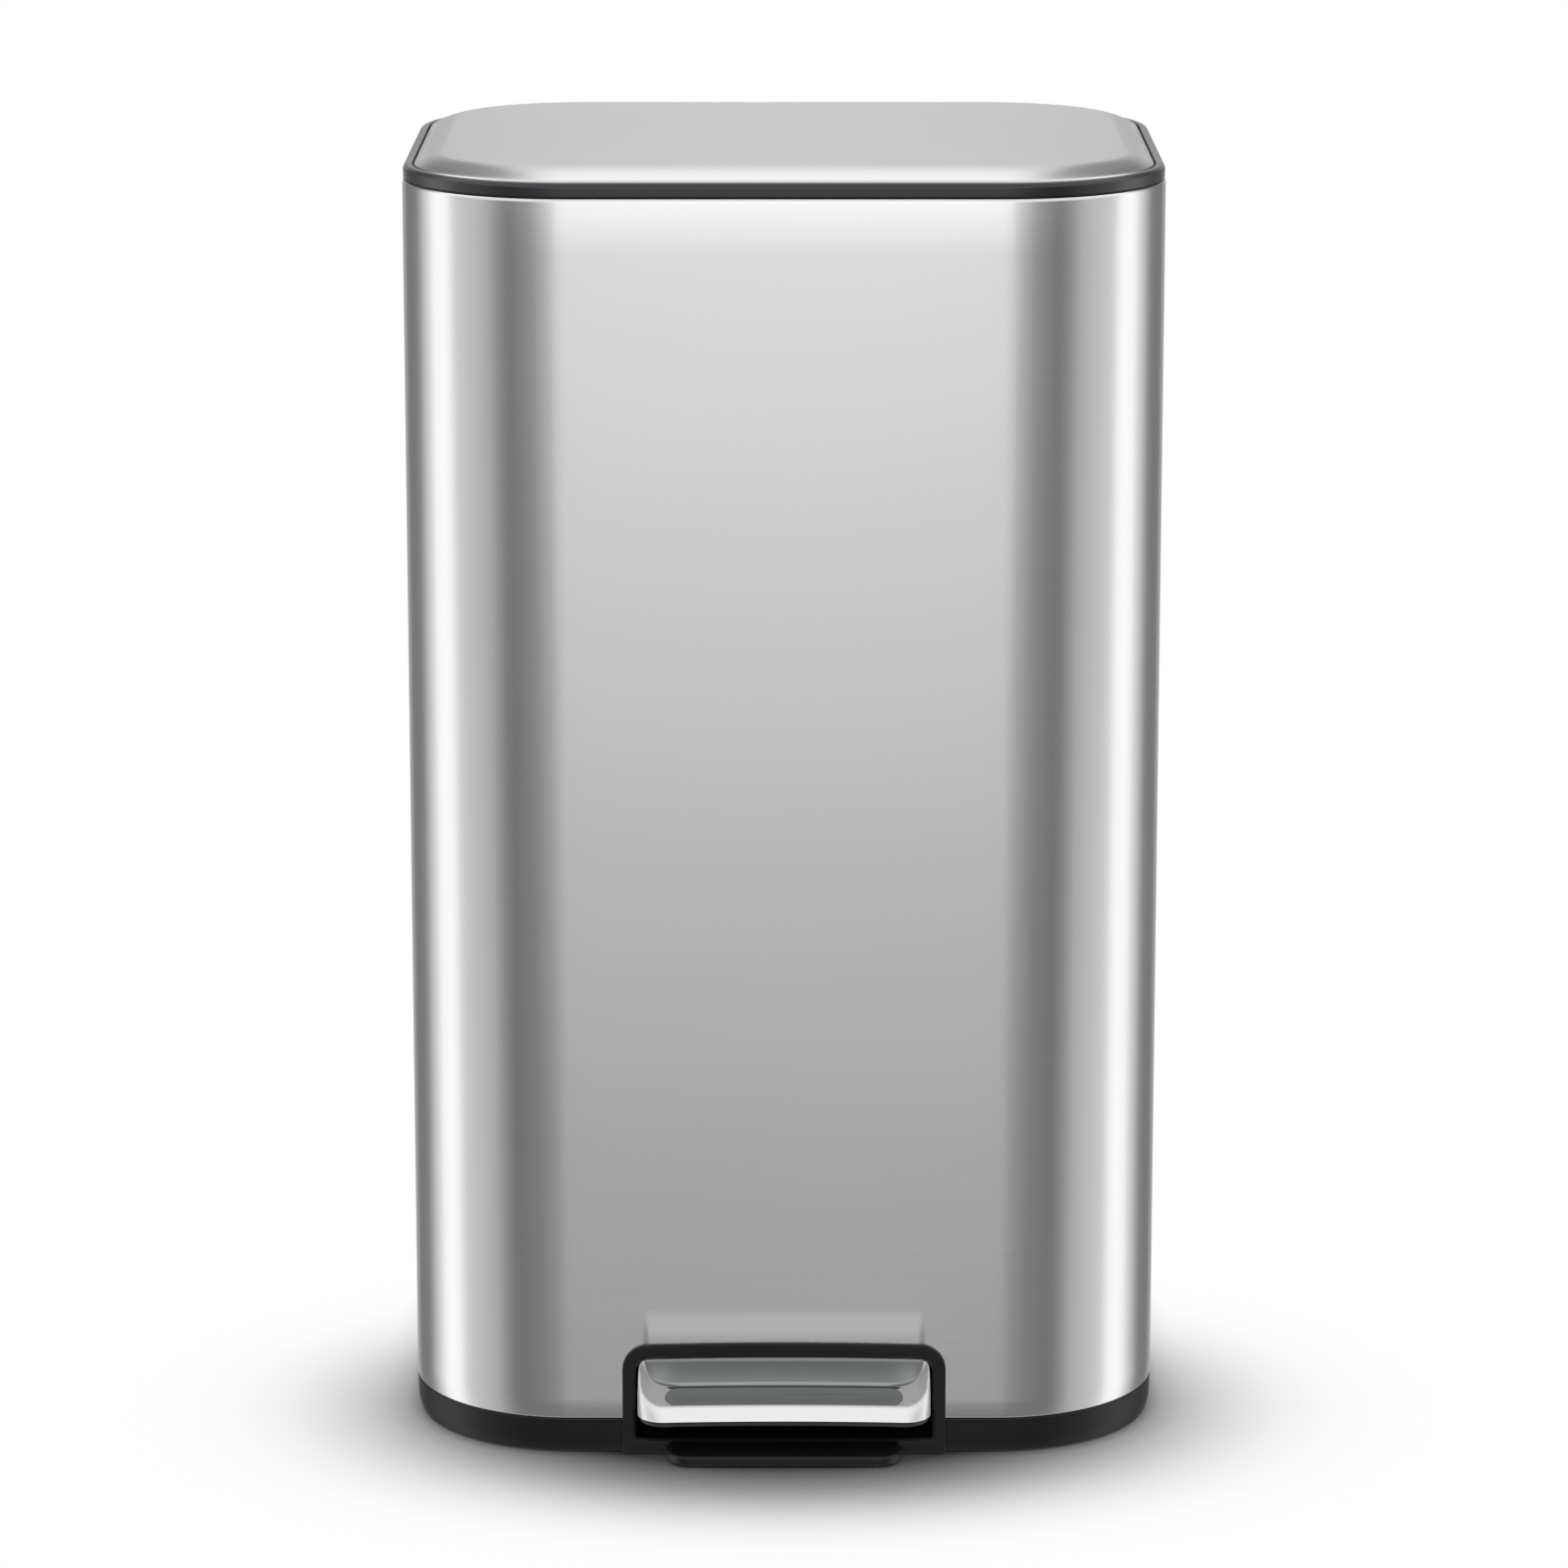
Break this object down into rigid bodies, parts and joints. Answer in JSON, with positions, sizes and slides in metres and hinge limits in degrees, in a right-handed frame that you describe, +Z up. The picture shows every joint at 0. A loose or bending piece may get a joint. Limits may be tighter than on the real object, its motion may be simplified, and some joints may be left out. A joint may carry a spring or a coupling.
{
  "type": "pedal trash can",
  "caption": "Free-standing rectangular steel trash can with rounded corners, a hinged crowned lid, a toe pedal with lift rod, and a removable inner bucket.",
  "frame": {"origin": "on the floor, at the middle of the whole part's footprint", "axes": "+X to the right seen from the pedal side, +Y to the rear where the lid hinges, +Z up"},
  "size_m": [0.4, 0.378, 0.6875],
  "materials": {
    "brushed_steel": "fine horizontal brushing",
    "zinc_steel": "zinc-plated pressed steel",
    "bright_steel": "drawn bright steel",
    "black_plastic": "fine moulded texture",
    "dark_grey_plastic": "fine moulded texture",
    "bucket_plastic": "smooth polypropylene",
    "soft_rubber": "matt",
    "nylon": "natural nylon"
  },
  "bodies": {
    "can_body": {"steel_shell": "brushed_steel", "base_ring": "black_plastic", "base_plate": "black_plastic", "rubber_feet": "soft_rubber", "base_screws": "bright_steel", "anti_tip_foot": "black_plastic", "pedal_housing": "black_plastic", "axle_block_left": "black_plastic", "axle_block_right": "black_plastic", "pedal_axle": "bright_steel", "axle_clips": "bright_steel", "bucket_deck": "dark_grey_plastic", "top_collar": "black_plastic", "lid_bumpers": "soft_rubber", "hinge_housing": "black_plastic", "housing_screws": "bright_steel", "hinge_bracket_left": "zinc_steel", "hinge_bracket_right": "zinc_steel", "hinge_rod": "bright_steel", "wall_bumpers": "soft_rubber", "rod_cover": "dark_grey_plastic", "rod_guides": "nylon", "damper_cylinder": "black_plastic", "damper_caps": "black_plastic"},
    "lid": {"lid_cover": "brushed_steel", "lid_surround": "dark_grey_plastic", "lid_liner": "dark_grey_plastic", "liner_screws": "bright_steel", "lid_hinge_arm": "zinc_steel", "crank_pin": "bright_steel"},
    "pedal": {"pedal_tread": "brushed_steel", "pedal_carrier": "dark_grey_plastic", "pedal_lever": "zinc_steel", "lever_bushes": "nylon", "pedal_screws": "bright_steel"},
    "lift_rod": {"lift_rod": "bright_steel", "rod_head": "black_plastic", "rod_foot": "black_plastic", "rod_foot_pin": "bright_steel", "damper_piston": "nylon"},
    "bucket": {"inner_bucket": "bucket_plastic", "bag_ring": "bucket_plastic"}
  },
  "joints": [
    {"name": "lid_hinge", "type": "hinge", "parent": "can_body", "child": "lid", "pos_m": [0, 0.176, 0.662], "axis": [-1, 0, 0], "range_deg": [0, 85]},
    {"name": "pedal_hinge", "type": "hinge", "parent": "can_body", "child": "pedal", "pos_m": [0, -0.078, 0.03], "axis": [1, 0, 0], "range_deg": [0, 8.01]},
    {"name": "rod_slide", "type": "slide", "parent": "can_body", "child": "lift_rod", "axis": [0, 0, 1], "range_m": [0, 0.0325]},
    {"name": "bucket_lift", "type": "slide", "parent": "can_body", "child": "bucket", "axis": [0, 0, 1], "range_m": [0, 0.014]}
  ],
  "couplings": [
    {"joint": "pedal_hinge", "follows": "lid_hinge", "ratio": 0.093603},
    {"joint": "rod_slide", "follows": "lid_hinge", "m_per_rad": 0.021859}
  ]
}
